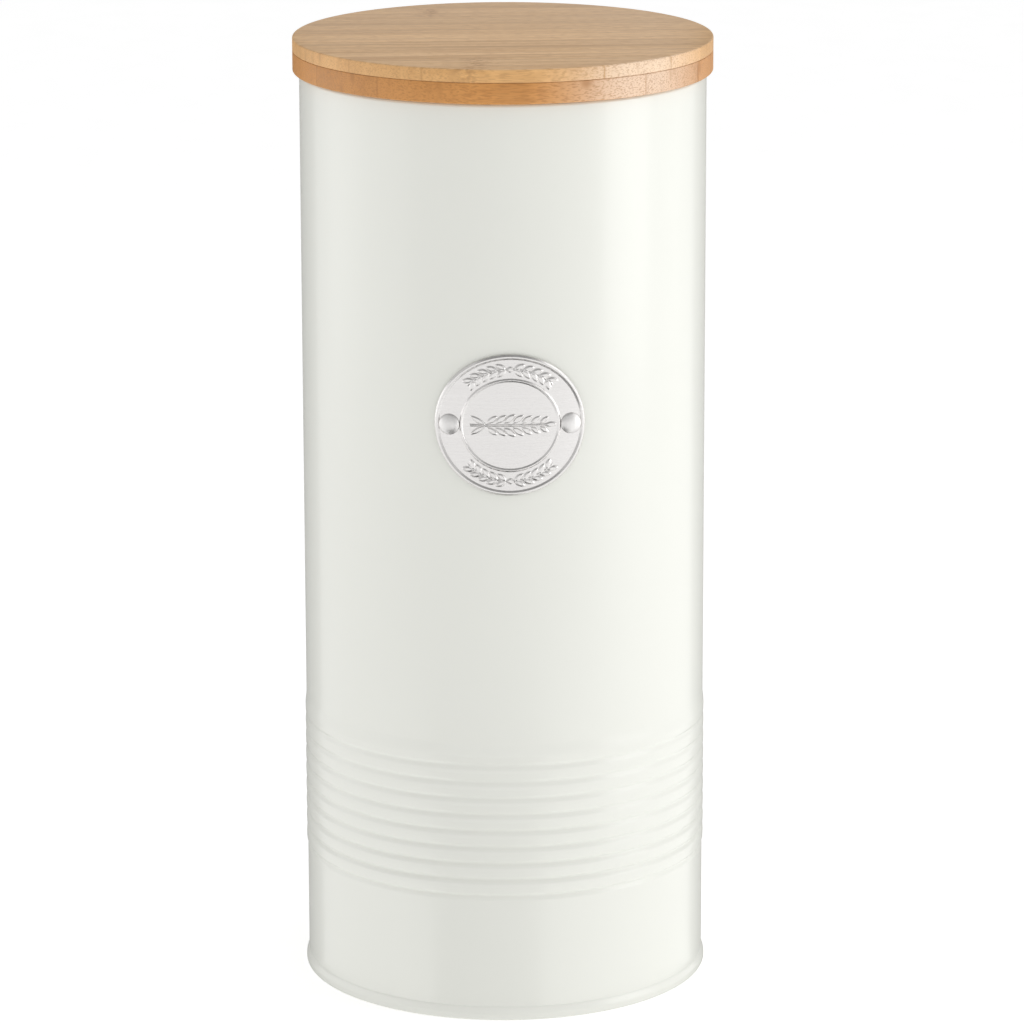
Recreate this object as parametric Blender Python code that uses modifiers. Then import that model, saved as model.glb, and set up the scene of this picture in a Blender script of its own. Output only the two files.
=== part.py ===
"""Food canister: a tall painted steel tube with a riveted badge and a two-ply bamboo lid.

Units are metres and +Z is up. The origin is on the axis, on the surface that the canister
stands on, and the badge faces -Y. At rest the lid sits on the rim of the tube.
"""

import math

import bmesh
import bpy
from mathutils import Matrix, Vector

# Whole object
HEIGHT = 0.2876
LID_RADIUS = 0.0625
BODY_RADIUS = 0.06055
GAP = 0.0002  # clearance between neighbouring pieces

# Steel tube
SHEET = 0.0005
CURL_RADIUS = 0.0011
CURL_END_ANGLE = math.radians(250)
TUBE_FOOT = 0.0012  # height of the tube's lower edge, inside the seam
BEAD_COUNT = 9
BEAD_PITCH = 0.00506
BEAD_HEIGHT = 0.00035
LOWEST_CREST = 0.0414
BEAD_SQUARENESS = 3.0
BEAD_STEPS = (0.5, 0.3, 0.0, -0.3)

# Pressed base and its rolled seam
PANEL_HEIGHT = 0.0042
PANEL_BEND = 0.0010
CHUCK_RADIUS = 0.0591
CHUCK_TAPER = 0.0003
SEAM_RADIUS = 0.0611
SEAM_HEIGHT = 0.0038
SEAM_BEND = 0.0005
SEAM_TUCK = 0.00012  # how far the seam's upper edge turns in to the tube

# Badge and rivets
BADGE_CENTRE_HEIGHT = 0.1829
BADGE_HALF_WIDTH = 0.0222  # along the wall
BADGE_HALF_HEIGHT = 0.0210
BADGE_SHEET = 0.0005
BADGE_RELIEF = 0.0004
BADGE_RIM_WIDTH = 0.00125
BADGE_INNER_RING = 0.0142
BADGE_RING_WIDTH = 0.0009
RIVET_OFFSET = 0.0178  # along the wall, from the badge's centre
RIVET_HEAD_RADIUS = 0.0031
RIVET_DOME = 0.0011
RIVET_SHANK_RADIUS = 0.0015
RIVET_HOLE_REACH = 0.004
RIVET_TAIL_RADIUS = 0.0026
RIVET_TAIL = 0.0008

# Lid
LID_THICKNESS = 0.0102
UPPER_PLY = 0.00395
GLUE_LINE = 0.00005
EDGE_BREAK = 0.0005
GRAIN_TURN = math.radians(1.2)
UPPER_STRIP_WIDTH = 0.0152
UPPER_FIRST_JOINT = -0.0567
UPPER_STRIPS = 9
LOWER_STRIP_WIDTH = 0.0210
LOWER_FIRST_JOINT = -0.0490
LOWER_STRIPS = 6
BOARD_MARGIN = 0.01  # how far the cutters of the strips pass the lid

# Plug and seal
PLUG_RADIUS = 0.0565
PLUG_DEPTH = 0.0120
PLUG_EDGE = 0.0010
GROOVE_TOP = 0.0011  # below the lid's underside
GROOVE_HEIGHT = 0.0047
GROOVE_RADIUS = 0.0543
SEAL_BAND_RADIUS = 0.0559
SEAL_FIN_RADIUS = 0.0579
SEAL_FIN = 0.0006

# Facets around a full turn
TUBE_STEPS = 48
LID_STEPS = 72
BADGE_STEPS = 36
RIVET_STEPS = 16
ARC_STEPS = 7

LID_SEAT = HEIGHT - LID_THICKNESS
RIM_TOP = LID_SEAT - GAP
BADGE_BACK = BODY_RADIUS + GAP
MERGE = 0.00001

PAINT = ("cream_paint", (0.80, 0.79, 0.75), 0.22, 0.0)
STEEL = ("brushed_steel", (0.70, 0.69, 0.68), 0.35, 1.0)
BAMBOO_LIGHT = ("bamboo_light", (0.62, 0.40, 0.22), 0.55, 0.0)
BAMBOO_DARK = ("bamboo_dark", (0.50, 0.29, 0.15), 0.55, 0.0)
SILICONE = ("silicone", (0.75, 0.74, 0.72), 0.50, 0.0)


def clear_scene():
    for obj in list(bpy.data.objects):
        bpy.data.objects.remove(obj, do_unlink=True)


def add_collection(name):
    collection = bpy.data.collections.new(name)
    bpy.context.scene.collection.children.link(collection)
    return collection


def material(finish):
    """The Principled material of one finish: name, colour, roughness, metallic."""
    name, colour, roughness, metallic = finish
    found = bpy.data.materials.get(name)
    if found:
        return found
    made = bpy.data.materials.new(name)
    made.use_nodes = True
    made.diffuse_color = (*colour, 1.0)
    shader = made.node_tree.nodes["Principled BSDF"]
    shader.inputs["Base Color"].default_value = (*colour, 1.0)
    shader.inputs["Roughness"].default_value = roughness
    shader.inputs["Metallic"].default_value = metallic
    return made


def add_part(name, mesh, finish, parent=None):
    obj = bpy.data.objects.new(name, mesh)
    parts.objects.link(obj)
    obj.parent = parent
    if not mesh.materials:
        mesh.materials.append(material(finish))
    return obj


def add_empty(name, height):
    """A body's reference point, on the canister's axis."""
    empty = bpy.data.objects.new(name, None)
    empty.empty_display_size = 0.01
    empty.location = (0, 0, height)
    parts.objects.link(empty)
    return empty


def arc(centre, radius, start, end, steps):
    """Points of a circular arc in the (radius, height) plane."""
    points = []
    for i in range(steps + 1):
        angle = start + (end - start) * i / steps
        points.append((centre[0] + radius * math.cos(angle), centre[1] + radius * math.sin(angle)))
    return points


def profile_mesh(name, points, closed=False):
    """A (radius, height) outline as loose edges in the XZ plane."""
    mesh = bpy.data.meshes.new(name)
    edges = [(i, i + 1) for i in range(len(points) - 1)]
    if closed:
        edges.append((len(points) - 1, 0))
    mesh.from_pydata([(x, 0, z) for x, z in points], edges, [])
    return mesh


def add_turn(obj, steps):
    screw = obj.modifiers.new("Turn", "SCREW")
    screw.steps = steps
    screw.render_steps = steps
    screw.use_merge_vertices = True
    screw.merge_threshold = MERGE
    screw.use_smooth_shade = True


def add_sheet(obj, thickness, offset):
    shell = obj.modifiers.new("Sheet", "SOLIDIFY")
    shell.thickness = thickness
    shell.offset = offset
    shell.use_even_offset = True


def add_boolean(obj, cutter, operation):
    boolean = obj.modifiers.new(operation.title(), "BOOLEAN")
    boolean.operation = operation
    boolean.object = cutter


def add_cutter(name, mesh, matrix):
    obj = bpy.data.objects.new(name, mesh)
    cutters.objects.link(obj)
    obj.matrix_world = matrix
    obj.hide_render = True
    obj.display_type = "WIRE"
    return obj


def cylinder_mesh(name, radius, low, high, steps):
    mesh = bpy.data.meshes.new(name)
    shape = bmesh.new()
    bmesh.ops.create_cone(
        shape,
        cap_ends=True,
        segments=steps,
        radius1=radius,
        radius2=radius,
        depth=high - low,
        matrix=Matrix.Translation((0, 0, (low + high) / 2)),
    )
    shape.to_mesh(mesh)
    shape.free()
    return mesh


def box_mesh(name, low, high):
    mesh = bpy.data.meshes.new(name)
    shape = bmesh.new()
    centre = (Vector(low) + Vector(high)) / 2
    size = Vector(high) - Vector(low)
    matrix = Matrix.Translation(centre) @ Matrix.Diagonal((*size, 1))
    bmesh.ops.create_cube(shape, size=1, matrix=matrix)
    shape.to_mesh(mesh)
    shape.free()
    return mesh


def wall_matrix(along, height, radius):
    """Frame on the wall: local Z points out, local X runs along the wall to the right.

    The point is a distance `along` the wall from the front line, at the given height and radius.
    """
    angle = along / BODY_RADIUS
    out = Vector((math.sin(angle), -math.cos(angle), 0))
    up = Vector((0, 0, 1))
    right = up.cross(out)
    axes = Matrix((right, up, out)).transposed().to_4x4()
    return Matrix.Translation(out * radius + up * height) @ axes


def bead_outline():
    """Outer face of the beads, top to bottom: broad crests that meet in narrow valleys."""
    points = []
    for bead in reversed(range(BEAD_COUNT)):
        crest = LOWEST_CREST + bead * BEAD_PITCH
        for across in BEAD_STEPS:
            swell = BEAD_HEIGHT * (1 - abs(2 * across) ** BEAD_SQUARENESS)
            points.append((BODY_RADIUS + swell, crest + across * BEAD_PITCH))
    points.append((BODY_RADIUS, LOWEST_CREST - BEAD_PITCH / 2))
    return points


def rivet_holes():
    """Two radial cutters through the plate and the wall, where the rivets pass."""
    holes = []
    for side, along in (("left", -RIVET_OFFSET), ("right", RIVET_OFFSET)):
        name = "rivet_hole_" + side
        radius = RIVET_SHANK_RADIUS + GAP
        mesh = cylinder_mesh(name, radius, -RIVET_HOLE_REACH, RIVET_HOLE_REACH, RIVET_STEPS)
        matrix = wall_matrix(along, BADGE_CENTRE_HEIGHT, BODY_RADIUS)
        holes.append(add_cutter(name, mesh, matrix))
    return holes


def build_body(root, holes):
    """Rolled tube with an inward curl at the mouth."""
    centre = (BODY_RADIUS - CURL_RADIUS, RIM_TOP - CURL_RADIUS)
    outline = arc(centre, CURL_RADIUS, CURL_END_ANGLE, 0, ARC_STEPS)
    outline += bead_outline()
    outline.append((BODY_RADIUS, TUBE_FOOT))
    body = add_part("canister_body", profile_mesh("canister_body", outline), PAINT, root)
    add_turn(body, TUBE_STEPS)
    add_sheet(body, SHEET, -1)
    for hole in holes:
        add_boolean(body, hole, "DIFFERENCE")


def build_base(root):
    """Pressed end: a raised panel, a chuck wall and a channel that holds the tube's edge."""
    floor = SHEET / 2
    panel_edge = CHUCK_RADIUS - CHUCK_TAPER
    outline = [
        (SEAM_RADIUS - SEAM_TUCK, SEAM_HEIGHT),
        (SEAM_RADIUS, SEAM_HEIGHT - SEAM_BEND),
        (SEAM_RADIUS, floor + SEAM_BEND),
        (SEAM_RADIUS - SEAM_BEND, floor),
        (CHUCK_RADIUS + SEAM_BEND, floor),
        (CHUCK_RADIUS, floor + SEAM_BEND),
        (panel_edge, PANEL_HEIGHT - PANEL_BEND),
        (panel_edge - PANEL_BEND, PANEL_HEIGHT),
        (0, PANEL_HEIGHT),
    ]
    base = add_part("base_pan", profile_mesh("base_pan", outline), PAINT, root)
    add_turn(base, TUBE_STEPS)
    add_sheet(base, SHEET, 0)


def badge_outline():
    """Half section of the flat badge: a rim, an inner ring and a plain back."""
    front = BADGE_SHEET
    raised = BADGE_SHEET + BADGE_RELIEF
    ring = BADGE_INNER_RING
    edge = BADGE_HALF_WIDTH
    rim_in = edge - BADGE_RIM_WIDTH
    slope = BADGE_RIM_WIDTH / 4
    return [
        (0, front),
        (ring / 3, front),
        (ring * 2 / 3, front),
        (ring - BADGE_RING_WIDTH / 2, front),
        (ring, raised),
        (ring + BADGE_RING_WIDTH / 2, front),
        (rim_in, front),
        (rim_in + slope, raised),
        (edge - slope, raised),
        (edge, front),
        (edge, 0),
        (edge * 3 / 4, 0),
        (edge / 2, 0),
        (edge / 4, 0),
        (0, 0),
    ]


def solid_copy(obj, name):
    """The evaluated mesh of an object, which is then removed."""
    graph = bpy.context.evaluated_depsgraph_get()
    mesh = bpy.data.meshes.new_from_object(obj.evaluated_get(graph))
    mesh.name = name
    bpy.data.objects.remove(obj, do_unlink=True)
    return mesh


def wrap_round_wall(mesh):
    """Bends a flat plate, whose Z points out, round the tube, a shade wider than high."""
    flatten = BADGE_HALF_HEIGHT / BADGE_HALF_WIDTH
    for vertex in mesh.vertices:
        along, up, out = vertex.co
        angle = along / BODY_RADIUS
        radius = BADGE_BACK + out
        vertex.co = (radius * math.sin(angle), -radius * math.cos(angle), up * flatten)


def build_badge(root, holes):
    blank = add_part("badge_blank", profile_mesh("badge_blank", badge_outline()), STEEL)
    add_turn(blank, BADGE_STEPS)
    mesh = solid_copy(blank, "badge_plate")
    wrap_round_wall(mesh)
    badge = add_part("badge_plate", mesh, STEEL, root)
    badge.location = (0, 0, BADGE_CENTRE_HEIGHT)
    for hole in holes:
        add_boolean(badge, hole, "DIFFERENCE")


def rivet_outline():
    """Half section of a closed rivet, from the top of its dome to its flattened tail."""
    seat = BADGE_SHEET + 2 * GAP
    sphere = (RIVET_HEAD_RADIUS**2 + RIVET_DOME**2) / (2 * RIVET_DOME)
    edge = math.asin((sphere - RIVET_DOME) / sphere)
    dome = arc((0, seat + RIVET_DOME - sphere), sphere, math.pi / 2, edge, 4)
    inside = -SHEET - 2 * GAP
    return [(0, seat + RIVET_DOME)] + dome[1:] + [
        (RIVET_SHANK_RADIUS, seat),
        (RIVET_SHANK_RADIUS, inside),
        (RIVET_TAIL_RADIUS, inside),
        (RIVET_TAIL_RADIUS, inside - RIVET_TAIL / 2),
        (RIVET_TAIL_RADIUS * 0.8, inside - RIVET_TAIL),
        (0, inside - RIVET_TAIL),
    ]


def build_rivets(root):
    mesh = profile_mesh("rivet", rivet_outline())
    for side, along in (("left", -RIVET_OFFSET), ("right", RIVET_OFFSET)):
        rivet = add_part("rivet_" + side, mesh, STEEL, root)
        rivet.matrix_world = wall_matrix(along, BADGE_CENTRE_HEIGHT, BODY_RADIUS)
        add_turn(rivet, RIVET_STEPS)


def lid_disc(name, low, high, broken_height):
    """A flat disc of the lid's radius, whose edge is eased round one of its faces."""
    mesh = cylinder_mesh(name, LID_RADIUS, low, high, LID_STEPS)
    shape = bmesh.new()
    shape.from_mesh(mesh)
    rim = []
    for edge in shape.edges:
        if all(abs(vertex.co.z - broken_height) < MERGE for vertex in edge.verts):
            rim.append(edge)
    bmesh.ops.bevel(shape, geom=rim, offset=EDGE_BREAK, segments=2, profile=0.5, affect="EDGES")
    shape.to_mesh(mesh)
    shape.free()
    return mesh


def build_strips(lid, prefix, disc, first_joint, width, count, finish):
    """Boards glued edge to edge: the disc cut into parallel strips, front to back."""
    reach = LID_RADIUS + BOARD_MARGIN
    turn = Matrix.Rotation(GRAIN_TURN, 4, "Z") @ Matrix.Translation((0, 0, LID_SEAT))
    for i in range(count):
        low = first_joint + (i - 1) * width + GLUE_LINE / 2
        high = low + width - GLUE_LINE
        if i == 0:
            low = -reach
        if i == count - 1:
            high = reach
        name = prefix + str(i + 1)
        top = LID_THICKNESS + BOARD_MARGIN
        board = box_mesh(name + "_board", (-reach, low, -BOARD_MARGIN), (reach, high, top))
        cutter = add_cutter(name + "_board", board, turn)
        strip = add_part(name, disc, finish, lid)
        add_boolean(strip, cutter, "INTERSECT")


def build_lid_plies(lid):
    split = LID_THICKNESS - UPPER_PLY
    upper = lid_disc("upper_ply", split, LID_THICKNESS, LID_THICKNESS)
    build_strips(
        lid, "lid_top_strip_", upper, UPPER_FIRST_JOINT, UPPER_STRIP_WIDTH, UPPER_STRIPS,
        BAMBOO_LIGHT,
    )
    lower = lid_disc("lower_ply", 0, split - GLUE_LINE, 0)
    build_strips(
        lid, "lid_base_strip_", lower, LOWER_FIRST_JOINT, LOWER_STRIP_WIDTH, LOWER_STRIPS,
        BAMBOO_DARK,
    )


def build_plug(lid):
    """Bamboo disc under the lid, with the seal's groove near its top."""
    top = -GLUE_LINE
    outline = [
        (0, top),
        (PLUG_RADIUS, top),
        (PLUG_RADIUS, -GROOVE_TOP),
        (GROOVE_RADIUS, -GROOVE_TOP),
        (GROOVE_RADIUS, -GROOVE_TOP - GROOVE_HEIGHT),
        (PLUG_RADIUS, -GROOVE_TOP - GROOVE_HEIGHT),
        (PLUG_RADIUS, PLUG_EDGE - PLUG_DEPTH),
        (PLUG_RADIUS - PLUG_EDGE, -PLUG_DEPTH),
        (0, -PLUG_DEPTH),
    ]
    plug = add_part("lid_plug", profile_mesh("lid_plug", outline), BAMBOO_LIGHT, lid)
    add_turn(plug, TUBE_STEPS)


def build_seal(lid):
    """Silicone ring with two fins that reach for the mouth of the tube."""
    top = -GROOVE_TOP - GAP
    foot = -GROOVE_TOP - GROOVE_HEIGHT + GAP
    inner = GROOVE_RADIUS + GAP
    outline = [(inner, top), (SEAL_BAND_RADIUS, top)]
    for share in (0.25, 0.75):
        root = top + (foot - top) * share
        outline += [
            (SEAL_BAND_RADIUS, root + SEAL_FIN),
            (SEAL_FIN_RADIUS, root + SEAL_FIN / 2),
            (SEAL_FIN_RADIUS, root - SEAL_FIN / 2),
            (SEAL_BAND_RADIUS, root - SEAL_FIN),
        ]
    outline += [(SEAL_BAND_RADIUS, foot), (inner, foot)]
    seal = add_part("lid_seal", profile_mesh("lid_seal", outline, closed=True), SILICONE, lid)
    add_turn(seal, TUBE_STEPS)


clear_scene()
parts = add_collection("food_canister")
cutters = add_collection("cutters")
canister_root = add_empty("canister_axis", 0)
lid_root = add_empty("lid_axis", LID_SEAT)

wall_holes = rivet_holes()
build_body(canister_root, wall_holes)
build_base(canister_root)
build_badge(canister_root, wall_holes)
build_rivets(canister_root)
build_lid_plies(lid_root)
build_plug(lid_root)
build_seal(lid_root)
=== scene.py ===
"""Looks of the food canister: a glossy cream steel tube, a pressed badge and a bamboo lid.

Units are metres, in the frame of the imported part: +Z up, badge towards -Y, origin on the floor.
"""

import math

import bmesh
import bpy
from mathutils import Matrix, Vector

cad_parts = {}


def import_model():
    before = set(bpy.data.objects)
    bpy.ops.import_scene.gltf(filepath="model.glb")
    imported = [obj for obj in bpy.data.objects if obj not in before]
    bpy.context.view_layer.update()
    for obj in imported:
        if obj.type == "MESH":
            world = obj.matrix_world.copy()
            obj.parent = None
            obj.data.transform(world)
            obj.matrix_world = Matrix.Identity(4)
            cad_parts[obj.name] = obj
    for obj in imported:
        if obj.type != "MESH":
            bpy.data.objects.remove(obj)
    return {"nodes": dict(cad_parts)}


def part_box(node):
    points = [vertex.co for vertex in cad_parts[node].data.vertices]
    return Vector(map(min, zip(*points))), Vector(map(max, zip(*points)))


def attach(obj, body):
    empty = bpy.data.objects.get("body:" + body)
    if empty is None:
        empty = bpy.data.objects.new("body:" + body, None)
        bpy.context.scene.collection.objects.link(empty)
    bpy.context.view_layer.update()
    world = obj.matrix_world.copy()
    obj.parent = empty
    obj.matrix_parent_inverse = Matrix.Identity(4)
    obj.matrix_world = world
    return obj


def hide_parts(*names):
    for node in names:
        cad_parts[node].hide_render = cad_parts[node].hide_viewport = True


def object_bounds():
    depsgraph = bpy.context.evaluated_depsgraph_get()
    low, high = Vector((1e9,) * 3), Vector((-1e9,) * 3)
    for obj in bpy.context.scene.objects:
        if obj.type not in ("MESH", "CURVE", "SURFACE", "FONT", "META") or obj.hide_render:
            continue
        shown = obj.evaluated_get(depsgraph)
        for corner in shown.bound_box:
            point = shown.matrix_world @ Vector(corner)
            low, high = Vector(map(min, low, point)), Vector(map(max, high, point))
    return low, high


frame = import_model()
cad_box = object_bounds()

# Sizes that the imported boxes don't give
SHEET = 0.0005
CURL_RADIUS = 0.0011
BEAD_COUNT = 9
BEAD_PITCH = 0.00506
BEAD_HEIGHT = 0.00035
BEAD_DIP = 0.00042
LOWEST_CREST = 0.0414
SEAM_HEIGHT = 0.0042
CHUCK_RADIUS = 0.0591
BADGE_HALF_WIDTH = 0.0222
BADGE_FRONT = 0.0007  # from the wall to the face of the badge
BADGE_THICKNESS = 0.0004
RIM_RELIEF = 0.00048
RING_RADIUS = 0.0142
RING_RELIEF = 0.00037
WREATH_RADIUS = 0.0176
LEAF_RELIEF = 0.00038
STALK_SHARE = 0.7  # height of a stalk, as a share of its leaves' height
RIVET_ALONG = 0.0178
SEAL_GROOVE_RADIUS = 0.0543
EDGE_BREAK = 0.0005
PLY_GROOVE = 0.00022
GRAIN_TURN = math.radians(1.2)

# Camera
CAMERA_DISTANCE = 1.574
CAMERA_HEIGHT = 0.543
CAMERA_AZIMUTH = math.radians(1.77)
CAMERA_PITCH = math.radians(14.315)
CAMERA_YAW = math.radians(0.121)
CAMERA_ROLL = math.radians(0.13)
CAMERA_LENS = 188.2

SOFTBOX_DISTANCE = 0.9
TURN_STEPS = 320


# ---------------------------------------------------------------- shapes


def link(obj):
    bpy.context.scene.collection.objects.link(obj)
    return obj


def smooth(mesh, sharp_degrees):
    mesh.shade_smooth()
    mesh.set_sharp_from_angle(angle=math.radians(sharp_degrees))


def evaluated(obj, sharp_degrees=35):
    """Applies an object's modifiers to its mesh."""
    graph = bpy.context.evaluated_depsgraph_get()
    mesh = bpy.data.meshes.new_from_object(obj.evaluated_get(graph))
    obj.modifiers.clear()
    obj.data = mesh
    smooth(mesh, sharp_degrees)
    return obj


def arc(centre, radius, start, end, steps):
    """Points of an arc in the (radius, height) plane; angles in degrees."""
    points = []
    for i in range(steps + 1):
        angle = math.radians(start + (end - start) * i / steps)
        points.append((centre[0] + radius * math.cos(angle), centre[1] + radius * math.sin(angle)))
    return points


def turned(name, points, steps=TURN_STEPS, closed=False, sheet=0.0, sharp_degrees=35):
    """A profile of (radius, height) points turned round Z; an open one becomes sheet metal."""
    mesh = bpy.data.meshes.new(name)
    edges = [(i, i + 1) for i in range(len(points) - 1)]
    if closed:
        edges.append((len(points) - 1, 0))
    mesh.from_pydata([(x, 0, z) for x, z in points], edges, [])
    obj = link(bpy.data.objects.new(name, mesh))
    screw = obj.modifiers.new("Turn", "SCREW")
    screw.steps = screw.render_steps = steps
    screw.use_merge_vertices = True
    screw.merge_threshold = 0.000005
    if sheet:
        shell = obj.modifiers.new("Sheet", "SOLIDIFY")
        shell.thickness = sheet
        shell.offset = -1
    return evaluated(obj, sharp_degrees)


def ease(value):
    """Smooth step from 0 to 1."""
    value = min(max(value, 0.0), 1.0)
    return value * value * (3 - 2 * value)


def place(obj, body, slot, material, *nodes):
    """Puts a finished piece on its body, in place of the CAD nodes that it stands for."""
    obj.data.materials.clear()
    obj.data.materials.append(material)
    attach(obj, body)
    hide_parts(*nodes)
    return obj


# ---------------------------------------------------------------- materials


class Graph:
    """The node tree of one material, built from its Principled shader back."""

    def __init__(self, name):
        self.material = bpy.data.materials.new(name)
        self.material.use_nodes = True
        self.tree = self.material.node_tree
        self.shader = self.tree.nodes["Principled BSDF"]
        self.place = self.add("TexCoord").outputs["Object"]

    def feed(self, socket, value):
        if isinstance(value, bpy.types.NodeSocket):
            self.tree.links.new(value, socket)
        else:
            socket.default_value = value

    def add(self, kind, inputs=(), **settings):
        node = self.tree.nodes.new("ShaderNode" + kind)
        for key, value in settings.items():
            setattr(node, key, value)
        for key, value in dict(inputs).items():
            self.feed(node.inputs[key], value)
        return node

    def set(self, **inputs):
        """Sets sockets of the shader: Base_Color is Base Color."""
        for key, value in inputs.items():
            self.feed(self.shader.inputs[key.replace("_", " ")], value)

    def math(self, operation, first, second=0.0, third=0.0):
        inputs = {0: first, 1: second, 2: third}
        return self.add("Math", inputs, operation=operation).outputs[0]

    def noise(self, vector, scale, detail=2.0, roughness=0.5):
        inputs = {"Vector": vector, "Scale": scale, "Detail": detail, "Roughness": roughness}
        return self.add("TexNoise", inputs).outputs["Fac"]

    def stretched(self, vector, scale):
        inputs = {0: vector, 1: scale}
        return self.add("VectorMath", inputs, operation="MULTIPLY").outputs[0]

    def moved(self, vector, offset):
        inputs = {0: vector, 1: offset}
        return self.add("VectorMath", inputs, operation="ADD").outputs[0]

    def ramp(self, value, stops):
        """stops is a list of (position, colour)."""
        node = self.add("ValToRGB", {0: value})
        elements = node.color_ramp.elements
        elements[0].position, elements[0].color = stops[0][0], (*stops[0][1], 1)
        elements[1].position, elements[1].color = stops[-1][0], (*stops[-1][1], 1)
        for position, colour in stops[1:-1]:
            elements.new(position).color = (*colour, 1)
        return node.outputs["Color"]

    def range(self, value, low, high, to_low, to_high):
        inputs = {0: value, 1: low, 2: high, 3: to_low, 4: to_high}
        return self.add("MapRange", inputs, clamp=True).outputs[0]

    def mix(self, factor, first, second, blend="MIX"):
        node = self.add("Mix", {0: factor, 6: first, 7: second}, data_type="RGBA", blend_type=blend)
        return node.outputs[2]

    def bump(self, height, strength, distance):
        inputs = {"Height": height, "Strength": strength, "Distance": distance}
        self.feed(self.shader.inputs["Normal"], self.add("Bump", inputs).outputs[0])


def cream_paint():
    """Stoved gloss paint with a faint unevenness of tone and of gloss."""
    g = Graph("cream_paint")
    cloud = g.noise(g.place, 5.0, 0.0)
    tone = g.ramp(cloud, [(0.2, (0.812, 0.818, 0.762)), (0.8, (0.828, 0.834, 0.779))])
    g.set(
        Base_Color=tone,
        Roughness=g.range(g.noise(g.place, 7.0, 0.0), 0.2, 0.8, 0.28, 0.32),
        IOR=1.5,
        Coat_Weight=0.2,
        Coat_Roughness=0.12,
    )
    return g.material


def badge_steel():
    """Brushed steel: fine scratches that run round the tube."""
    g = Graph("badge_steel")
    scratches = g.noise(g.stretched(g.place, (160.0, 160.0, 9000.0)), 1.0, 3.0, 0.7)
    streaks = g.noise(g.stretched(g.place, (30.0, 30.0, 2600.0)), 1.0, 2.0)
    tone = g.ramp(streaks, [(0.3, (0.775, 0.758, 0.745)), (0.7, (0.805, 0.788, 0.775))])
    g.set(
        Base_Color=tone,
        Metallic=1.0,
        Roughness=g.range(scratches, 0.25, 0.75, 0.22, 0.30),
    )
    g.bump(scratches, 0.08, 0.00001)
    return g.material


def rivet_steel():
    """Plain bright steel, lightly tumbled."""
    g = Graph("rivet_steel")
    pits = g.noise(g.place, 1800.0, 3.0)
    tone = g.ramp(pits, [(0.3, (0.78, 0.765, 0.75)), (0.7, (0.84, 0.83, 0.82))])
    g.set(Base_Color=tone, Metallic=1.0, Roughness=g.range(pits, 0.3, 0.7, 0.40, 0.48))
    g.bump(pits, 0.1, 0.00001)
    return g.material


def silicone():
    """Milky soft rubber."""
    g = Graph("silicone")
    bloom = g.noise(g.place, 160.0, 4.0)
    tone = g.ramp(bloom, [(0.3, (0.72, 0.715, 0.69)), (0.7, (0.80, 0.795, 0.77))])
    g.set(
        Base_Color=tone,
        Roughness=g.range(bloom, 0.3, 0.7, 0.42, 0.55),
        Subsurface_Weight=0.3,
        Subsurface_Scale=0.002,
    )
    g.bump(bloom, 0.05, 0.0001)
    return g.material


def shaded(colour, red, green, blue):
    """A linear colour with each part scaled, kept below white."""
    return tuple(min(part * gain, 0.95) for part, gain in zip(colour, (red, green, blue)))


def fibre_space(g, shift):
    """Places turned with the grain: along it, across it, whole, and with the fibres swaying."""
    turn = g.add("VectorRotate", {"Vector": g.place, "Angle": -GRAIN_TURN}, rotation_type="Z_AXIS")
    split = g.add("SeparateXYZ", {0: turn.outputs[0]})
    grain = g.moved(turn.outputs[0], (shift * 0.37, shift * 0.11, shift * 0.05))
    drift = g.noise(g.stretched(grain, (14.0, 90.0, 90.0)), 1.0, 2.0)
    sway = g.math("MULTIPLY_ADD", drift, 0.0016, -0.0008)
    sideways = g.add("CombineXYZ", {1: sway, 2: sway}).outputs[0]
    return split.outputs[0], split.outputs[1], grain, g.moved(grain, sideways)


def end_grain_and_painted_light(g, colour, tone, along):
    """The strips' cut edges: paler where fibres end, as end grain is; warmer than the top, a
    painted sheen; and paler still at the ends towards +X, a painted highlight.
    """
    normal = g.add("SeparateXYZ", {0: g.add("TexCoord").outputs["Normal"]}).outputs
    # Painted sheen: upright faces are tinted warmer, which leaves the top paler, as a gloss
    # reflection on it would.
    upright = g.range(g.math("ABSOLUTE", normal[2]), 0.3, 0.8, 1.0, 0.0)
    end = g.range(g.math("ABSOLUTE", normal[0]), 0.0, 0.45, 0.0, 0.6)
    colour = g.mix(end, colour, (*shaded(tone, 0.84, 0.84, 0.88), 1.0))
    colour = g.mix(upright, colour, (0.98, 0.87, 0.66, 1.0), "MULTIPLY")
    # Painted highlight: the fibre ends towards +X, the lid's lit side, are turned paler still.
    painted_right_highlight = g.range(along, 0.002, 0.032, 0.0, 1.0)
    painted_right_highlight = g.math("MINIMUM", painted_right_highlight, g.range(along, 0.044, 0.057, 1.0, 0.2))
    return g.mix(g.math("MULTIPLY", end, painted_right_highlight), colour, (0.98, 0.82, 0.66, 1.0))


def strip_marks(g, grain, along, across, knuckle, joints):
    """Strength of the dark marks: the mottled ring of growth and the glued sides."""
    wander = g.noise(g.stretched(grain, (0.0, 260.0, 260.0)), 1.0, 2.0)
    centre = g.math("MULTIPLY_ADD", wander, 0.008, knuckle - 0.004)
    off = g.math("ABSOLUTE", g.math("SUBTRACT", along, centre))
    mottle = g.noise(g.stretched(grain, (420.0, 700.0, 700.0)), 1.0, 2.0)
    mottle = g.range(mottle, 0.45, 0.62, 0.0, 1.0)
    patch = g.math("MULTIPLY", g.range(off, 0.0, 0.006, 0.95, 0.0), mottle)
    marks = g.math("MAXIMUM", patch, g.range(off, 0.0002, 0.0006, 0.50, 0.0))
    for joint in joints:
        gap = g.math("ABSOLUTE", g.math("SUBTRACT", across, joint))
        marks = g.math("MAXIMUM", marks, g.range(gap, 0.00005, 0.00030, 0.32, 0.0))
    return marks


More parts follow.
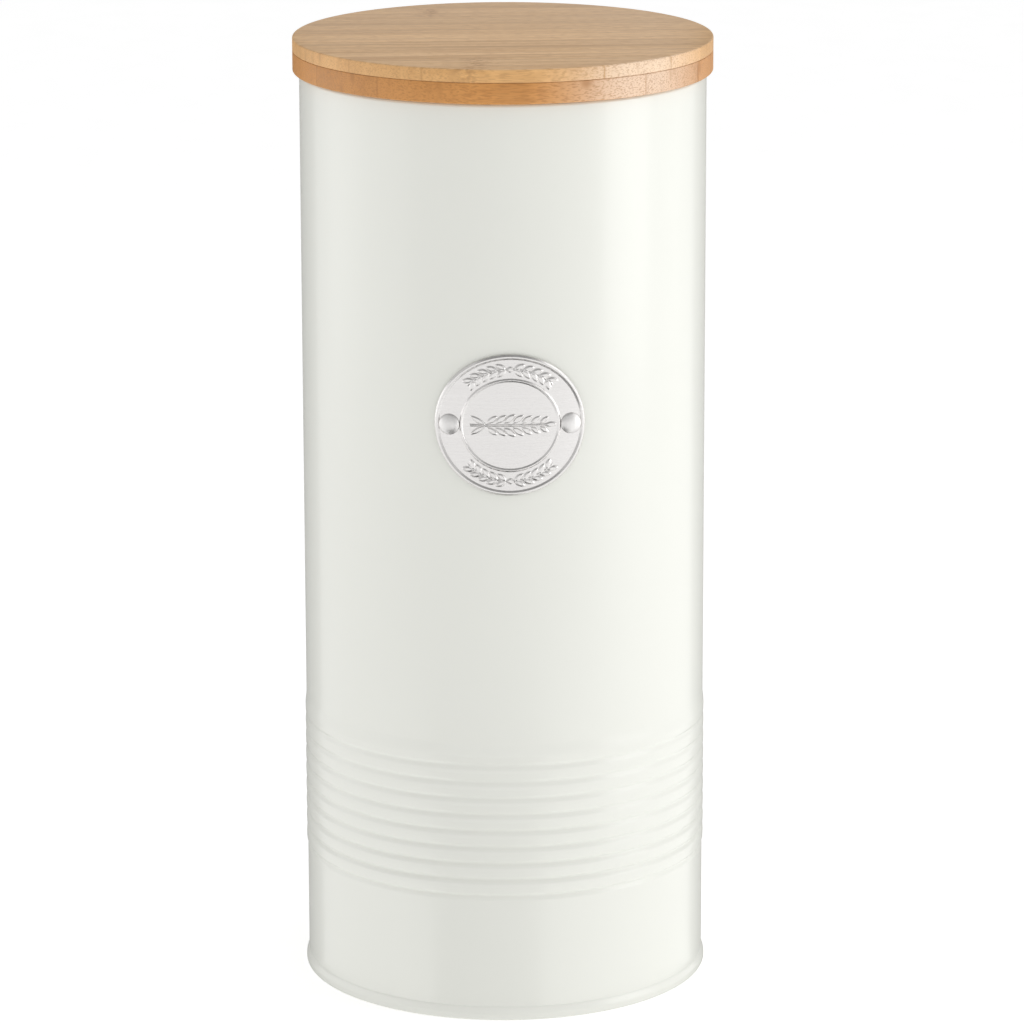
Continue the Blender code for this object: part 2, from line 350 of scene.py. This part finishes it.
def bamboo(name, tone, shift, knuckle, joints=()):
    """One bamboo strip: fibres along X that end as dots, and a knuckle across the grain.

    tone is the strip's mean colour, shift moves the pattern for each strip, knuckle is where
    along the grain its ring of growth lies, and joints are the glued sides, across the grain.
    """
    g = Graph(name)
    along, across, grain, fibres = fibre_space(g, shift)
    bands = g.noise(g.stretched(fibres, (7.0, 330.0, 40.0)), 1.0, 2.0)
    lines = g.noise(g.stretched(fibres, (16.0, 1300.0, 1000.0)), 1.0, 2.0, 0.6)
    flecks = g.noise(g.stretched(fibres, (300.0, 2600.0, 2600.0)), 1.0, 1.0)
    streak = g.noise(g.stretched(fibres, (8.0, 420.0, 90.0)), 1.0, 1.0)

    level = g.math("MULTIPLY_ADD", bands, 0.45, 0.025)
    level = g.math("MULTIPLY_ADD", lines, 0.50, level)
    dark = shaded(tone, 0.80, 0.75, 0.68)
    light = shaded(tone, 1.10, 1.14, 1.22)
    colour = g.ramp(level, [(0.37, dark), (0.50, tone), (0.63, light)])
    colour = end_grain_and_painted_light(g, colour, tone, along)

    brown = (*shaded(tone, 0.60, 0.50, 0.38), 1.0)
    dots = g.range(flecks, 0.48, 0.66, 0.0, 0.50)
    dots = g.math("MAXIMUM", dots, g.range(streak, 0.60, 0.72, 0.0, 0.6))
    colour = g.mix(dots, colour, brown)
    colour = g.mix(strip_marks(g, grain, along, across, knuckle, joints), colour, brown)

    g.set(Base_Color=colour, Roughness=g.range(lines, 0.3, 0.7, 0.38, 0.50), IOR=1.5)
    g.bump(lines, 0.15, 0.00005)
    return g.material


# ---------------------------------------------------------------- steel pieces


def bead_swell(height):
    """How far the wall stands out at a height: broad crests with narrow valleys between them.

    A valley is steep on its upper side and gentle on its lower one. The lower a valley is, the
    further it dips into the wall.
    """
    bead = (height - LOWEST_CREST) / BEAD_PITCH
    if bead < -0.9 or bead > BEAD_COUNT:
        return 0.0
    if bead > BEAD_COUNT - 1:
        return BEAD_HEIGHT * ease(1 - 1.15 * (bead - BEAD_COUNT + 1))
    above_valley = bead + 0.5 - round(bead + 0.5)
    depth = 1 - ease(above_valley / 0.17 if above_valley > 0 else -above_valley / 0.32)
    if bead < -0.5:
        return -BEAD_DIP * depth
    crown = 0.2 * (2 * above_valley) ** 2
    dip = BEAD_DIP * (1 - (bead + 0.5) / BEAD_COUNT)
    return BEAD_HEIGHT * (0.8 + crown) * (1 - depth) - dip * depth


def wall_heights(top, foot):
    """Heights down the wall, close together on the beads."""
    steps_a_bead = 24
    bead_top = LOWEST_CREST + BEAD_COUNT * BEAD_PITCH
    count = (BEAD_COUNT + 1) * steps_a_bead
    beads = [bead_top - i * BEAD_PITCH / steps_a_bead for i in range(count + 1)]
    upper = [top - (top - bead_top) * i / 12 for i in range(1, 12)]
    lower = [beads[-1] - (beads[-1] - foot) * i / 6 for i in range(1, 7)]
    return upper + beads + lower


def wall_radius():
    """Outer radius of the plain wall, without the beads."""
    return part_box("canister_body")[1].x - BEAD_HEIGHT


def raise_back_seam(mesh, radius, top):
    """The lap where the rolled sheet is joined, a low band down the back of the tube."""
    half_width = 0.0035
    edge = 0.0009
    lift = 0.00028
    for vertex in mesh.vertices:
        around = math.hypot(vertex.co.x, vertex.co.y)
        aside = abs(math.atan2(vertex.co.x, vertex.co.y)) * radius
        share = ease((half_width + edge - aside) / edge) * ease((top - vertex.co.z) / 0.004)
        if share > 0:
            scale = (around + lift * share) / around
            vertex.co.x *= scale
            vertex.co.y *= scale


def canister_body(material):
    low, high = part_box("canister_body")
    radius = wall_radius()
    curl = (radius - CURL_RADIUS, high.z - CURL_RADIUS)
    outline = arc(curl, CURL_RADIUS, 250, 0, 24)
    outline += [(radius + bead_swell(z), z) for z in wall_heights(curl[1], low.z)]
    body = turned("canister_tube", outline, sheet=SHEET)
    raise_back_seam(body.data, radius, high.z - 2 * CURL_RADIUS)
    place(body, "canister", "cream_paint", material, "canister_body")


def base_pan(material):
    """The pressed end: its folded seam round the foot and its raised panel underneath."""
    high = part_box("base_pan")[1]
    wall = wall_radius()
    outer = high.x
    proud = outer - wall
    folds = ((0.0, 0.0), (0.10, 0.15), (0.28, 0.32), (0.42, 0.58), (0.54, 0.90), (0.68, 1.25))
    folds += ((0.82, 1.60), (0.93, 1.95), (0.99, 2.30), (1.0, 2.6))
    outline = [(wall + proud * out, SEAM_HEIGHT - 0.001 * down) for out, down in folds]
    outline += arc((outer - 0.0010, 0.0010), 0.0010, 0, -90, 10)
    outline += arc((CHUCK_RADIUS + 0.00025, 0.0005), 0.0005, 270, 180, 6)
    outline += [(CHUCK_RADIUS - 0.0005, high.z - 0.0015)]
    outline += arc((CHUCK_RADIUS - 0.0015, high.z - 0.0015), 0.0010, 0, 90, 6)
    outline += [(0.040, high.z - SHEET), (0.020, high.z - SHEET), (0, high.z - SHEET)]
    pan = turned("base_end", outline, sheet=SHEET)
    place(pan, "canister", "cream_paint", material, "base_pan")


def leaf(x, y, centre, angle, half_length, half_width):
    """Height share of one embossed leaf: a rounded lozenge with steep sides."""
    dx, dy = x - centre[0], y - centre[1]
    along = (dx * math.cos(angle) + dy * math.sin(angle)) / half_length
    across = (dy * math.cos(angle) - dx * math.sin(angle)) / half_width
    reach = 1 - abs(along) ** 1.6 - abs(across) ** 1.6
    return ease(reach * 2.2)


def sprigs(radius):
    """Leaf pairs along the badge's upper and lower arcs, pointing away from a round bud."""
    leaves = []
    for side in (1, -1):
        leaves.append(((0.0, side * radius), 0.0, 0.0009, 0.0009))
        for way in (1, -1):
            for i in range(5):
                turn = way * math.radians(8.5 + 8.2 * i)
                tangent = -side * turn if way > 0 else math.pi - side * turn
                for rank in (1, -1):
                    reach = radius + rank * 0.0010
                    spot = (reach * math.sin(turn), side * reach * math.cos(turn))
                    tilt = rank * side * way * math.radians(33)
                    leaves.append((spot, tangent + tilt, 0.0017, 0.00078))
    return leaves


def ear_leaves():
    """An ear of grain lying along X: pairs of grains on a stalk, a tip, and two blades."""
    leaves = [((0.0118, 0.0), 0.0, 0.0019, 0.0008)]
    for i in range(7):
        x = -0.0052 + i * 0.0025
        size = 1.0 - 0.07 * abs(i - 2)
        for side in (1, -1):
            spot = (x, side * 0.0021 * size)
            leaves.append((spot, side * math.radians(38), 0.0022 * size, 0.00092 * size))
    for side in (1, -1):
        leaves.append(((-0.0093, side * 0.0015), side * math.radians(148), 0.0027, 0.0007))
    return leaves


def ridge(distance, half_width, ramp):
    """A flat-topped ridge with straight flanks, as a share of its height."""
    return min(max((half_width - distance) / ramp, 0.0), 1.0)


def badge_rings():
    """Distances from the centre at which the badge's mesh has a ring of points."""
    ring_in, ring_out = RING_RADIUS - 0.0008, RING_RADIUS + 0.0008
    rim = BADGE_HALF_WIDTH - 0.0017
    bands = ((0.0, ring_in, 84), (ring_in, ring_out, 24), (ring_out, rim, 36))
    bands += ((rim, BADGE_HALF_WIDTH, 26),)
    reaches = [0.0]
    for start, end, count in bands:
        start = max(start, reaches[-1])
        reaches += [start + (end - start) * i / count for i in range(1, count + 1)]
    return reaches


def badge_height(x, y, reach, ear, wreath):
    """How far the badge's relief stands above its plain face."""
    rim = ridge(abs(reach - BADGE_HALF_WIDTH + 0.00076), 0.00076, 0.00052)
    ring = ridge(abs(reach - RING_RADIUS), 0.00054, 0.00042)
    height = RIM_RELIEF * rim + RING_RELIEF * ring
    in_wreath = RING_RADIUS + 0.0007 < reach < BADGE_HALF_WIDTH - 0.0015 and abs(x) < 0.0152
    if reach < RING_RADIUS - 0.0008:
        grain = max(leaf(x, y, *one) for one in ear)
        stalk = ease((0.00036 - abs(y)) / 0.00026) if -0.0118 < x < 0.0110 else 0.0
        height += LEAF_RELIEF * max(grain, STALK_SHARE * stalk)
    elif in_wreath:
        leaves = max(leaf(x, y, *one) for one in wreath)
        off = abs(reach - WREATH_RADIUS)
        stalk = ease((0.00028 - off) / 0.0002) if abs(x) < 0.0122 else 0.0
        height += LEAF_RELIEF * max(leaves, STALK_SHARE * stalk)
    return height


def badge(material):
    """The pressed plate, bent round the wall, with its rim, ring, ear of grain and sprigs."""
    low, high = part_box("badge_plate")
    radius = wall_radius()
    squash = (high.z - low.z) / 2 / BADGE_HALF_WIDTH
    middle = (high.z + low.z) / 2
    wreath, ear = sprigs(WREATH_RADIUS), ear_leaves()
    steps = 520

    shape = bmesh.new()
    rows = []
    for reach in badge_rings():
        row = []
        for j in range(steps if reach else 1):
            angle = 2 * math.pi * j / steps
            x, y = reach * math.cos(angle), reach * math.sin(angle)
            height = badge_height(x, y, reach, ear, wreath)
            out = radius + BADGE_FRONT + height
            turn = x / radius
            spot = (out * math.sin(turn), -out * math.cos(turn), middle + y * squash)
            row.append(shape.verts.new(spot))
        rows.append(row)
    for j in range(steps):
        shape.faces.new((rows[0][0], rows[1][j], rows[1][(j + 1) % steps]))
    for inner, outer in zip(rows[1:], rows[2:]):
        for j in range(steps):
            after = (j + 1) % steps
            shape.faces.new((inner[j], outer[j], outer[after], inner[after]))
    shape.normal_update()
    mesh = bpy.data.meshes.new("badge_face")
    shape.to_mesh(mesh)
    shape.free()
    plate = link(bpy.data.objects.new("badge_face", mesh))
    shell = plate.modifiers.new("Sheet", "SOLIDIFY")
    shell.thickness = BADGE_THICKNESS
    shell.offset = -1
    evaluated(plate, 75)
    place(plate, "canister", "badge_steel", material, "badge_plate")


def rivets(material):
    """Closed rivets: a round head, the shank, and a flattened tail inside the tube."""
    radius = wall_radius()
    head, dome, seat = 0.0031, 0.0011, 0.0008
    outline = []
    for i in range(25):
        reach = math.sin(math.pi / 2 * i / 24)
        outline.append((head * reach, seat + dome * (1 - reach ** 2.3) ** 0.6))
    outline += [(head, seat - 0.00008), (0.0015, seat - 0.00008), (0.0015, -0.0009)]
    outline += [(0.0026, -0.0009)] + arc((0.0022, -0.0013), 0.0004, 0, -90, 6) + [(0, -0.0017)]
    for side, along in (("left", -RIVET_ALONG), ("right", RIVET_ALONG)):
        node = "rivet_" + side
        low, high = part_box(node)
        turn = along / radius
        out = Vector((math.sin(turn), -math.cos(turn), 0))
        up = Vector((0, 0, 1))
        axes = Matrix((up.cross(out), up, out)).transposed().to_4x4()
        rivet = turned(node + "_dome", outline, steps=72, sharp_degrees=40)
        spot = out * radius + up * (low.z + high.z) / 2
        rivet.data.transform(Matrix.Translation(spot) @ axes)
        place(rivet, "canister", "badge_steel", material, node)


# ---------------------------------------------------------------- lid

# Mean linear colours of the pale and of the browner bamboo
PALE = (0.815, 0.515, 0.252)
BROWN = (0.66, 0.330, 0.108)


def toned(colour, gain):
    return tuple(min(1.0, gain * part) for part in colour)


def strip_band(node):
    """The two sides of a strip, measured across the grain."""
    turn = Matrix.Rotation(-GRAIN_TURN, 3, "Z")
    across = [(turn @ vertex.co).y for vertex in frame["nodes"][node].data.vertices]
    return min(across), max(across)


def cut_away(shape, place_across, outwards):
    """Saws a disc along the grain and drops the part beyond the cut, on the outwards side."""
    across = Vector((-math.sin(GRAIN_TURN), math.cos(GRAIN_TURN), 0))
    cut = bmesh.ops.bisect_plane(
        shape, geom=shape.verts[:] + shape.edges[:] + shape.faces[:],
        plane_co=across * place_across, plane_no=across * outwards, clear_outer=True,
    )
    edges = [item for item in cut["geom_cut"] if isinstance(item, bmesh.types.BMEdge)]
    bmesh.ops.holes_fill(shape, edges=edges)


def lid_strip(node, broken_side):
    """One strip of a ply, cut from a fine disc; broken_side is the face whose edge is eased."""
    low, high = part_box(node)
    radius = cad_box[1].x
    shape = bmesh.new()
    bmesh.ops.create_cone(
        shape, cap_ends=True, segments=288, radius1=radius, radius2=radius, depth=high.z - low.z,
        matrix=Matrix.Translation((0, 0, (low.z + high.z) / 2)),
    )
    heights = (high.z, low.z) if broken_side == "top" else (low.z, high.z)
    for height, offset in zip(heights, (EDGE_BREAK, PLY_GROOVE)):
        rim = [e for e in shape.edges if all(abs(v.co.z - height) < 1e-5 for v in e.verts)]
        bmesh.ops.bevel(shape, geom=rim, offset=offset, segments=4, profile=0.5, affect="EDGES")
    first, last = strip_band(node)
    if first > -radius + 0.001:
        cut_away(shape, first, -1)
    if last < radius - 0.001:
        cut_away(shape, last, 1)
    mesh = bpy.data.meshes.new(node)
    shape.to_mesh(mesh)
    shape.free()
    smooth(mesh, 15)
    return link(bpy.data.objects.new(node + "_wood", mesh))


def lid_strips():
    upper_gain = (1.00, 0.98, 1.04, 0.99, 1.06, 1.01, 0.97, 1.02, 0.96)
    upper_knuckle = (-0.013, -0.010, 0.2, 0.2, 0.2, 0.2, 0.2, -0.020, -0.2)
    for i, (gain, knuckle) in enumerate(zip(upper_gain, upper_knuckle), start=1):
        node = f"lid_top_strip_{i}"
        wood = bamboo(f"bamboo_top_{i}", toned(PALE, gain), i * 0.31, knuckle, strip_band(node))
        place(lid_strip(node, "top"), "lid", "bamboo_light", wood, node)
    lower_gain = (1.02, 0.96, 1.05, 1.03, 0.98, 1.0)
    lower_knuckle = (0.2, 0.2, -0.2, -0.010, 0.044, 0.0)
    for i, (gain, knuckle) in enumerate(zip(lower_gain, lower_knuckle), start=1):
        node = f"lid_base_strip_{i}"
        tone = toned(BROWN, gain)
        wood = bamboo(f"bamboo_base_{i}", tone, 4 + i * 0.47, knuckle, strip_band(node))
        place(lid_strip(node, "bottom"), "lid", "bamboo_dark", wood, node)


def lid_plug():
    low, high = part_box("lid_plug")
    seal_low, seal_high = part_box("lid_seal")
    radius, groove = high.x, SEAL_GROOVE_RADIUS
    outline = [(0, high.z), (radius - 0.0003, high.z), (radius, high.z - 0.0003)]
    outline += [(radius, seal_high.z + 0.0002), (groove, seal_high.z + 0.0002)]
    outline += [(groove, seal_low.z - 0.0002), (radius, seal_low.z - 0.0002)]
    outline += arc((radius - 0.001, low.z + 0.001), 0.001, 0, -90, 6) + [(0, low.z)]
    wood = bamboo("bamboo_plug", toned(PALE, 0.98), 9.3, 0.027)
    plug = turned("lid_plug_wood", outline, sharp_degrees=20)
    place(plug, "lid", "bamboo_light", wood, "lid_plug")


def lid_seal(material):
    """Silicone ring: a flat band with two tapering fins."""
    low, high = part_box("lid_seal")
    inner, band, fin = 0.0545, 0.0559, high.x
    span = high.z - low.z
    outline = [(inner, high.z), (band, high.z)]
    for share in (0.25, 0.75):
        middle = high.z - span * share
        outline += [(band, middle + 0.0006), (band + 0.0006, middle + 0.00035)]
        outline += arc((fin - 0.00022, middle), 0.00022, 80, -80, 8)
        outline += [(band + 0.0006, middle - 0.00035), (band, middle - 0.0006)]
    outline += [(band, low.z), (inner, low.z)]
    seal = turned("lid_seal_ring", outline, closed=True, sharp_degrees=40)
    place(seal, "lid", "silicone", material, "lid_seal")


# ---------------------------------------------------------------- studio


def floor():
    """A wide pale floor that reaches past every view, with a little light of its own."""
    shape = bmesh.new()
    bmesh.ops.create_grid(shape, x_segments=4, y_segments=4, size=12)
    mesh = bpy.data.meshes.new("floor")
    shape.to_mesh(mesh)
    shape.free()
    obj = link(bpy.data.objects.new("floor", mesh))
    g = Graph("floor_white")
    grain = g.noise(g.place, 40.0, 2.0)
    tone = g.ramp(grain, [(0.3, (0.90, 0.90, 0.90)), (0.7, (0.92, 0.92, 0.92))])
    g.set(
        Base_Color=tone,
        Roughness=0.9,
        Specular_IOR_Level=0.0,
        Emission_Color=(1.0, 1.0, 1.0, 1.0),
        Emission_Strength=0.38,
    )
    mesh.materials.append(g.material)


def softbox(name, azimuth, size, lift, glow):
    """A lit panel round the axis that faces it; azimuth is from the front, to the right."""
    width, height = size
    light = bpy.data.lights.new(name, "AREA")
    light.shape = "RECTANGLE"
    light.size = width
    light.size_y = height
    light.energy = glow * math.pi * width * height
    obj = link(bpy.data.objects.new(name, light))
    angle = math.radians(azimuth)
    obj.location = (SOFTBOX_DISTANCE * math.sin(angle), -SOFTBOX_DISTANCE * math.cos(angle), lift)
    obj.rotation_euler = (math.pi / 2, 0, angle)
    obj.visible_camera = False


def flag(name, corners, grey=0.24):
    """A dark card that only reflections see; corners are the pairs of ends of its folds."""
    mesh = bpy.data.meshes.new(name)
    faces = [(i, i + 1, i + 3, i + 2) for i in range(0, len(corners) - 2, 2)]
    mesh.from_pydata(corners, [], faces)
    obj = link(bpy.data.objects.new(name, mesh))
    g = Graph(name)
    nap = g.noise(g.place, 300.0, 2.0)
    tone = g.ramp(nap, [(0.3, (grey,) * 3), (0.7, (grey + 0.02,) * 3)])
    g.set(Base_Color=tone, Roughness=0.9)
    mesh.materials.append(g.material)
    obj.visible_camera = False
    obj.visible_diffuse = False
    obj.visible_shadow = False


def side_flags():
    """Cards beside and behind the tube that draw its upright edges, down to the floor."""
    for name, side in (("flag_left", -1), ("flag_right", 1)):
        corners = [(side * 0.0645, -0.004, 0.001), (side * 0.067, -0.012, 0.001)]
        corners += [(side * 0.064, 0.048, 0.001), (side * 0.105, 0.026, 0.001)]
        corners += [(side * 0.064, 0.048, 0.400), (side * 0.105, 0.026, 0.400)]
        flag(name, corners)


def top_flag():
    """A card overhead that darkens the upper flanks of the badge's relief."""
    corners = [(side * 0.4, depth, 0.75) for depth in (-0.55, 0.10) for side in (-1, 1)]
    flag("flag_top", corners)


def front_flag():
    """A card on the floor in front that gives the middle of the lower tube its darker band."""
    corners = [(-0.030, -0.063, 0.001), (0.0126, -0.0693, 0.001)]
    corners += [(-0.231, -0.272, 0.001), (0.102, -0.345, 0.001)]
    flag("flag_front", corners, grey=0.06)


def foot_flag():
    """A narrow ring on the floor that gives the foot a darker lower edge."""
    corners = []
    for i in range(97):
        angle = 2 * math.pi * i / 96
        for radius in (0.0585, 0.0680):
            corners.append((radius * math.cos(angle), radius * math.sin(angle), 0.0002))
    flag("flag_foot", corners)


def world():
    """A pale room, a little lighter overhead."""
    made = bpy.data.worlds.new("studio")
    made.use_nodes = True
    nodes, links = made.node_tree.nodes, made.node_tree.links
    split = nodes.new("ShaderNodeSeparateXYZ")
    links.new(nodes.new("ShaderNodeTexCoord").outputs["Generated"], split.inputs[0])
    ramp = nodes.new("ShaderNodeValToRGB")
    links.new(split.outputs["Z"], ramp.inputs[0])
    elements = ramp.color_ramp.elements
    elements[0].position, elements[0].color = 0.50, (0.60, 0.60, 0.60, 1.0)
    elements[1].position, elements[1].color = 0.75, (0.72, 0.72, 0.72, 1.0)
    links.new(ramp.outputs[0], nodes["Background"].inputs["Color"])
    bpy.context.scene.world = made


def camera():
    lens = bpy.data.cameras.new("camera")
    lens.lens = CAMERA_LENS
    lens.sensor_width = 36.0
    lens.clip_start = 0.01
    lens.clip_end = 50.0
    obj = link(bpy.data.objects.new("camera", lens))
    obj.location = (
        -CAMERA_DISTANCE * math.sin(CAMERA_AZIMUTH),
        -CAMERA_DISTANCE * math.cos(CAMERA_AZIMUTH),
        CAMERA_HEIGHT,
    )
    obj.rotation_euler = (
        math.pi / 2 - CAMERA_PITCH,
        CAMERA_ROLL,
        -CAMERA_AZIMUTH - CAMERA_YAW,
    )
    bpy.context.scene.camera = obj


camera()
world()
floor()
softbox("softbox_left", -70, (0.48, 0.45), 0.23, 0.47)
softbox("softbox_left_back", -100, (0.48, 0.45), 0.23, 0.81)
softbox("softbox_right", 70, (0.48, 0.45), 0.23, 2.40)
softbox("softbox_right_back", 100, (0.48, 0.45), 0.23, 0.44)
softbox("softbox_right_high", 85, (0.62, 0.70), 0.80, 0.82)
side_flags()
top_flag()
front_flag()
foot_flag()
bpy.context.scene.view_settings.view_transform = "Standard"

paint = cream_paint()
canister_body(paint)
base_pan(paint)
badge(badge_steel())
rivets(rivet_steel())
lid_strips()
lid_plug()
lid_seal(silicone())
